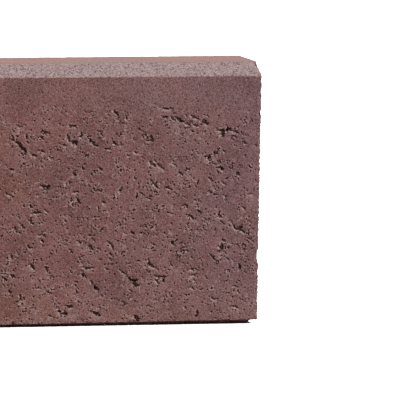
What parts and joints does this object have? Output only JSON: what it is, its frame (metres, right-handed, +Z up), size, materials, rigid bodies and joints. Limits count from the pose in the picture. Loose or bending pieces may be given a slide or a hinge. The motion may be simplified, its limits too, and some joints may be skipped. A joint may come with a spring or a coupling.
{
  "type": "garden kerb",
  "caption": "Straight pressed-concrete garden kerb with a chamfered top front edge and plain butt ends, set upright to edge a path, bed or lawn.",
  "frame": {"origin": "middle of the bed, the bottom face that the kerb stands on", "axes": "+X along the run of the kerb, -Y out of the exposed face that has the chamfer, +Z up"},
  "size_m": [1, 0.06, 0.2],
  "materials": {
    "concrete": "matte"
  },
  "bodies": {
    "root": {"kerb": "concrete"}
  },
  "joints": []
}
